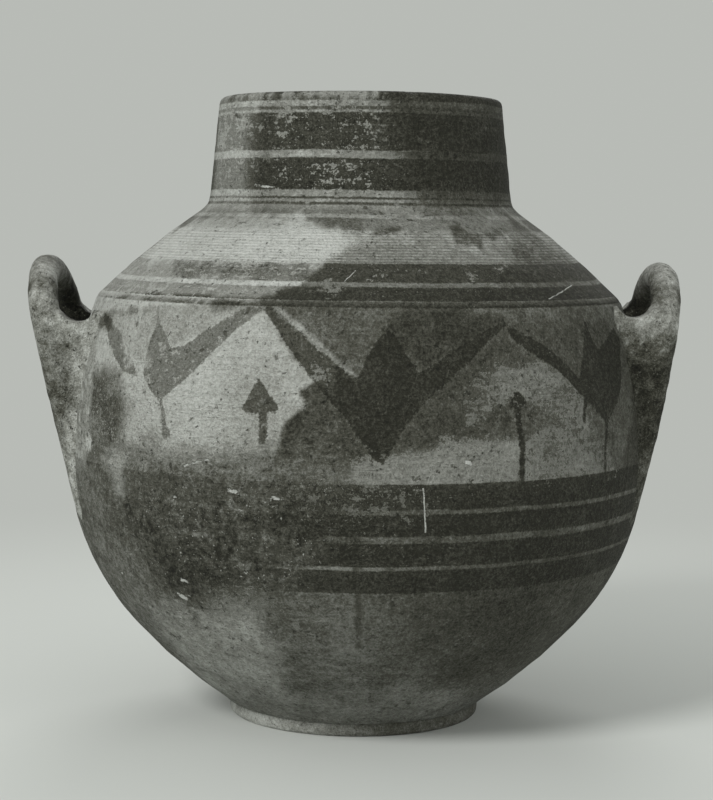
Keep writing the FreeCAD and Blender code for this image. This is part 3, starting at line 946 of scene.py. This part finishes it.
# The loops: a bar bent over two limbs, clay smeared between each limb and the wall. Saddle is the height of the
# slot's lowest point, and tones are (height, how light).
loops = {
    "right": dict(side=1, seed=50, standOff=34.8, lean=5.5, saddle=283.0, wallTone=0.27,
                  tones=[(150, .18), (238, .20), (262, .32), (279, .50), (290, .46), (320, .52)]),
    "left": dict(side=-1, seed=70, standOff=39.5, lean=8.5, saddle=275.5, wallTone=0.56,
                 tones=[(150, .36), (200, .37), (250, .42), (285, .50), (320, .50)]),
}
loopShape = {
    "bar": 10.3,  # half its thickness
    "spacing": 114.0,
    "top": 309.3,
    "rise": 38.6,  # from the limbs' top to the arch's
    "bend": 30.0,
    "limbEnd": 151.4,
    "saddleRound": 13.0,
    "crest": 6.0,
    "smearFoot": 176.0,
    "smearAtBar": 8.6,
    "smearAtWall": 15.0,
    "barBlend": 4.0,
    "wallBlend": 7.0,
    "smearRun": 38.0,
    "sunk": 2.0,  # the skin dips this far into the wall
    "deepest": 7.0,
    "skirt": 15.0,  # how far the blend into the wall may spread
    "barReach": 34.0,
    "cell": 1.25,
    "limbSteps": 14,
    "bendSteps": 9,
    "crownSteps": 7,
    "gridWall": (150, 75),  # height and place aside where the grid starts at the wall
    "gridRoom": 14,
    "gridAside": 96.0,
    "gridBottom": 136.0,
    "gridTop": 324.0,
}
loopLook = {
    "lumps": [(0.5, 17.0), (0.22, 6.5), (0.12, 3.2)],
    "ropes": [(0.28, 5.0)],
    "ropeStretch": (1, 1, 0.22),
    "sunk": 0.25,
    "free": (-1.0, 3.0),  # mm out of the wall where the relief starts and is full
    "mottle": [(0.07, 20)],
    "wallOut": (13, 3),  # where the loop takes on the wall's tone: mm out of it, and height
    "wallUp": (290, 270),
    "wallShare": 0.8,
    "paintedSlotShade": 0.8,  # painted shade in the slot between bar and wall
    "slotAside": (56, 47),
    "slotUp": (312, 286),
}


def wallOut(height, aside):
    return math.sqrt(outerRadius(height) ** 2 - aside ** 2)


def arcPoints(start, direction, end, count):
    start, end = np.array(start, float), np.array(end, float)
    chord = end - start
    direction = np.array(direction, float) / np.linalg.norm(direction)
    along = chord / np.linalg.norm(chord)
    aside = direction - along * (direction @ along)
    turn = math.atan2(np.linalg.norm(aside), direction @ along)
    if turn < 1e-4:
        return [start + chord * step / count for step in range(count + 1)]
    aside /= np.linalg.norm(aside)
    radius = np.linalg.norm(chord) / 2 / math.sin(turn)
    middle = start + chord / 2 - aside * radius * math.cos(turn)
    angles = np.linspace(-turn, turn, count + 1)
    return [middle + radius * (along * math.sin(a) + aside * math.cos(a)) for a in angles]


# The loop's middle line in front of +X, and the points of one limb, from top to end
def loopLine(loop):
    shape = loopShape
    half, rise, bend = shape["spacing"] / 2, shape["rise"], shape["bend"]
    leaning = math.atan(loop["lean"] / rise)
    up = np.array([math.sin(leaning), 0, math.cos(leaning)])
    springHeight = shape["top"] - rise * up[2]
    spring = np.array([wallOut(springHeight, half) + loop["standOff"] - shape["bar"], 0, springHeight])
    end = np.array([wallOut(shape["limbEnd"], half) - shape["bar"], 0, shape["limbEnd"]])
    limb = arcPoints(spring, -up, end, shape["limbSteps"])
    crown = (half ** 2 + rise ** 2 - 2 * half * bend) / (2 * (rise - bend))
    toJoin = np.array([half - bend, crown - rise]) / math.hypot(half - bend, crown - rise)
    across, arch = np.array([0, 1.0, 0]), []
    turnOfBend = math.atan2(toJoin[1], toJoin[0])
    for angle in np.linspace(0, turnOfBend, shape["bendSteps"]):
        arch.append((half - bend + bend * math.cos(angle), bend * math.sin(angle)))
    for angle in np.linspace(turnOfBend, math.pi / 2, shape["crownSteps"])[1:]:
        arch.append((crown * math.cos(angle), rise - crown + crown * math.sin(angle)))
    rear = [spring + across * aside + up * lift for aside, lift in arch]
    front = [point * (1, -1, 1) for point in rear]
    side = across * half
    line = [point - side for point in reversed(limb)] + front[1:] + rear[-2::-1]
    return line + [point + side for point in limb[1:]], limb


def meet(a, b, reach):
    near = np.maximum(reach - np.abs(a - b), 0) / reach
    return np.minimum(a, b) - near * near * reach / 4


# The skin where a field on a grid changes sign, as quads
def skinOf(field, origin, cell):
    inside = field < 0
    size = np.array(field.shape)
    total, count = np.zeros((*(size - 1), 3), np.float32), np.zeros(size - 1, np.float32)
    for axis in range(3):
        low = [slice(None)] * 3
        high = [slice(None)] * 3
        low[axis], high[axis] = slice(0, -1), slice(1, None)
        a, b = field[tuple(low)], field[tuple(high)]
        crosses = (a < 0) != (b < 0)
        share = np.where(crosses, a / np.where(crosses, a - b, 1), 0)
        others = [other for other in range(3) if other != axis]
        for first in (0, 1):
            for second in (0, 1):
                pick = [slice(None)] * 3
                pick[others[0]] = slice(first, size[others[0]] - 1 + first)
                pick[others[1]] = slice(second, size[others[1]] - 1 + second)
                hit = crosses[tuple(pick)]
                total[..., axis] += np.where(hit, share[tuple(pick)], 0)
                total[..., others[0]] += np.where(hit, first, 0)
                total[..., others[1]] += np.where(hit, second, 0)
                count += hit
    used = count > 0
    number = np.full(size - 1, -1)
    number[used] = np.arange(used.sum())
    places = origin + (np.argwhere(used) + total[used] / count[used][:, None]) * cell
    faces = []
    for axis in range(3):
        one, two = (axis + 1) % 3, (axis + 2) % 3
        low, high = [slice(1, -1)] * 3, [slice(1, -1)] * 3
        low[axis], high[axis] = slice(0, -1), slice(1, None)
        a, b = inside[tuple(low)], inside[tuple(high)]
        start = np.argwhere(a != b)
        leaving = a[a != b]
        start[:, one] += 1
        start[:, two] += 1
        corners = []
        for stepOne, stepTwo in ((-1, -1), (0, -1), (0, 0), (-1, 0)):
            cellPlace = start.copy()
            cellPlace[:, one] += stepOne
            cellPlace[:, two] += stepTwo
            corners.append(number[tuple(cellPlace.T)])
        quads = np.stack(corners, axis=1)
        quads[~leaving] = quads[~leaving][:, ::-1]
        faces.append(quads)
    return places, np.concatenate(faces)


# The loop and its smears as a field on a grid, below 0 inside, in front of +X
def loopField(loop):
    shape = loopShape
    line, limb = loopLine(loop)
    room, aside, cell = shape["gridRoom"], shape["gridAside"], shape["cell"]
    low = np.array([wallOut(*shape["gridWall"]) - room, -aside, shape["gridBottom"]])
    high = np.array([max(point[0] for point in line) + room, aside, shape["gridTop"]])
    axes = [np.arange(start, stop + cell, cell, dtype=np.float32) for start, stop in zip(low, high)]
    grid = x, y, z = np.meshgrid(*axes, indexing="ij")
    bar = np.full(x.shape, 1e3, np.float32)
    for a, b in zip(line, line[1:]):
        reach = zip(np.minimum(a, b) - shape["barReach"], np.maximum(a, b) + shape["barReach"])
        near = tuple(slice(*np.searchsorted(axis, ends)) for axis, ends in zip(axes, reach))
        run = b - a
        out = [places[near] - start for places, start in zip(grid, a)]
        share = np.clip(sum(part * along for part, along in zip(out, run)) / (run @ run), 0, 1)
        away = np.sqrt(sum((part - share * along) ** 2 for part, along in zip(out, run)))
        bar[near] = np.minimum(bar[near], away - shape["bar"])
    saddle = loop["saddle"]
    limbOuts, limbHeights = np.array(limb)[::-1, 0], np.array(limb)[::-1, 2]
    limbOut = np.interp(z, limbHeights, limbOuts)
    share = np.clip((limbOut - x) / shape["smearRun"], 0, 1)
    smear = np.abs(np.abs(y) - shape["spacing"] / 2)
    smear = smear - (shape["smearAtBar"] + (shape["smearAtWall"] - shape["smearAtBar"]) * share)
    gapStart = wallOut(saddle, shape["spacing"] / 2)
    gapEnd = np.interp(saddle, limbHeights, limbOuts) - shape["bar"]
    gap = shape["saddleRound"] - np.hypot(x - (gapStart + gapEnd) / 2, z - saddle - shape["saddleRound"])
    smear = np.maximum.reduce([smear, gap, z - saddle - shape["crest"], shape["smearFoot"] - z, x - limbOut])
    loose = meet(bar, smear, shape["barBlend"])
    wall = np.hypot(x, y) - outerRadius(z)
    field = meet(loose, wall + shape["sunk"], shape["wallBlend"])
    field = np.maximum.reduce([field, -(wall + shape["deepest"]), loose - shape["skirt"]])
    field[[0, -1]] = field[:, [0, -1]] = field[:, :, [0, -1]] = 1.0
    return field.astype(np.float32), low


def cornerNormals(places, faces):
    corners = places[faces]
    across = np.cross(corners[:, 2] - corners[:, 0], corners[:, 3] - corners[:, 1])
    normals = np.zeros_like(places)
    for corner in range(4):
        np.add.at(normals, faces[:, corner], across)
    return normals / np.linalg.norm(normals, axis=1)[:, None]


def loopPiece(name, loop, material):
    look = loopLook
    field, low = loopField(loop)
    places, faces = skinOf(field, low, loopShape["cell"])
    outOfWall = np.hypot(places[:, 0], places[:, 1]) - outerRadius(places[:, 2])
    relief = layered(places, look["lumps"], loop["seed"])
    relief += layered(places * look["ropeStretch"], look["ropes"], loop["seed"] + 3) - look["sunk"]
    places = places + cornerNormals(places, faces) * (relief * ease(*look["free"], outOfWall))[:, None]
    places[:, 0] *= loop["side"]
    faces = faces[:, ::loop["side"]].tolist()
    nodes = [f"handle_{name}", f"handle_root_{name}_front", f"handle_root_{name}_rear"]
    piece = newPiece(f"handle_{name}_clay", places, faces, nodes, material)
    height, aside = places[:, 2], np.abs(places[:, 1])
    tone = np.interp(height, *zip(*loop["tones"])) + layered(places, look["mottle"], loop["seed"] + 5)
    likeWall = ease(*look["wallOut"], outOfWall) * ease(*look["wallUp"], height) * look["wallShare"]
    tone += (loop["wallTone"] - tone) * likeWall
    # painted shade: the tone darkens in the slot between bar and wall, low down and on the inner side
    tone *= 1 - look["paintedSlotShade"] * ease(*look["slotAside"], aside) * ease(*look["slotUp"], height)
    setAttribute(piece, "tone", tone)
    print(piece.name, len(places), "points", len(faces), "faces")
    return piece


for name, loop in loops.items():
    loopPiece(name, loop, clays["handle_clay"])


# Floor and backdrop, the light and the camera
studio = {
    "backdrop": (181, 184, 179),
    "backdropGlow": 1.04,
    "floor": (206, 209, 204),
    "floorFades": (0.26, 1.1),  # metres from the axis where the lit floor starts and ends turning into backdrop
    "floorRings": [0.001, 0.6, 1.6, 3.2],
    "wallBend": 1.2,
    "wallTop": [(4.4, 7.0), (0.01, 7.5)],
    "lamps": {  # place, size across, power
        "key_light": ((-1.5, -2.1, 2.0), 0.95, 64.0),
        "fill_light": ((2.4, -1.6, 0.9), 2.0, 17.0),
        "rear_light": ((0.2, 2.5, 1.9), 1.5, 30.0),
    },
    "aim": (0, 0, 0.2),
    "sky": (235, 238, 236),
    "skyPower": 0.50,
}


def turnedStage(name, profile):
    steps = 96
    spokes = [(math.cos(a), math.sin(a)) for a in np.linspace(0, 2 * math.pi, steps, endpoint=False)]
    places = [(radius * c, radius * s, height) for radius, height in profile for c, s in spokes]
    rows = [[row * steps + i for i in range(steps)] for row in range(len(profile))]
    faces = [(low[i - 1], low[i], high[i], high[i - 1]) for low, high in zip(rows, rows[1:]) for i in range(steps)]
    mesh = bpy.data.meshes.new(name)
    mesh.from_pydata(places, [], faces)
    mesh.shade_smooth()
    piece = bpy.data.objects.new(name, mesh)
    bpy.context.scene.collection.objects.link(piece)
    material, tree = newMaterial(name)
    mesh.materials.append(material)
    return tree


def seenRay(tree):  # 1 for a ray that shows the background: straight, in a gloss or through glass
    rays = addNode(tree, "LightPath").outputs
    return most(rays["Is Camera Ray"], rays["Is Glossy Ray"], rays["Is Transmission Ray"])


def showBackdrop(tree, share, lit):
    glow = addNode(tree, "Emission", {"Color": srgb(*studio["backdrop"]), "Strength": studio["backdropGlow"]})
    mixed = addNode(tree, "MixShader", {0: share, 1: lit.outputs[0], 2: glow.outputs[0]})
    addNode(tree, "OutputMaterial", {"Surface": mixed.outputs[0]})


# A lit floor that turns into plain pale paper further out, and a round wall that lights nothing
def makeStudio():
    tree = turnedStage("studio_floor", [(radius, 0.0) for radius in studio["floorRings"]])
    place = addNode(tree, "TexCoord").outputs["Object"]
    out = addNode(tree, "VectorMath", {0: place}, operation="LENGTH").outputs["Value"]
    lit = addNode(tree, "BsdfDiffuse", {"Color": srgb(*studio["floor"])})
    showBackdrop(tree, times(seenRay(tree), step(out, *studio["floorFades"], 0.05, 1.0)), lit)
    edge, bend = studio["floorRings"][-1], studio["wallBend"]
    rise = [(edge + bend * math.sin(a), bend - bend * math.cos(a)) for a in np.radians(range(0, 91, 10))]
    tree = turnedStage("studio_wall", rise + studio["wallTop"])
    showBackdrop(tree, seenRay(tree), addNode(tree, "BsdfTransparent"))


def makeLamp(name, place, size, power):
    light = bpy.data.lights.new(name, "AREA")
    light.shape = "DISK"
    light.size = size
    light.energy = power
    holder = bpy.data.objects.new(name, light)
    holder.location = place
    holder.rotation_euler = (Vector(studio["aim"]) - Vector(place)).to_track_quat("-Z", "Y").to_euler()
    bpy.context.scene.collection.objects.link(holder)


makeStudio()
for name, how in studio["lamps"].items():
    makeLamp(name, *how)
world = bpy.data.worlds.new("studio_sky")
world.use_nodes = True
background = world.node_tree.nodes["Background"]
background.inputs["Color"].default_value = srgb(*studio["sky"])
background.inputs["Strength"].default_value = studio["skyPower"]
bpy.context.scene.world = world

camera = bpy.data.cameras.new("camera")
camera.sensor_width = 36.0
camera.lens = camera.sensor_width * view["distance"] / view["frameHeight"]
camera.clip_start, camera.clip_end = 0.05, 50.0
seer = bpy.data.objects.new("camera", camera)
bpy.context.scene.collection.objects.link(seer)
metres = view["unit"] / 1000
seer.matrix_world = (
    Matrix.Translation((0, -view["distance"] * metres, view["eyeHeight"] * metres))
    @ Matrix.Rotation(view["axisAside"] / view["distance"], 4, "Z")
    @ Matrix.Rotation(math.pi / 2 - view["pitch"], 4, "X")
    @ Matrix.Rotation(view["roll"], 4, "Z"))
bpy.context.scene.camera = seer
bpy.context.scene.view_settings.view_transform = "Standard"
print("studio, lamps and camera made")
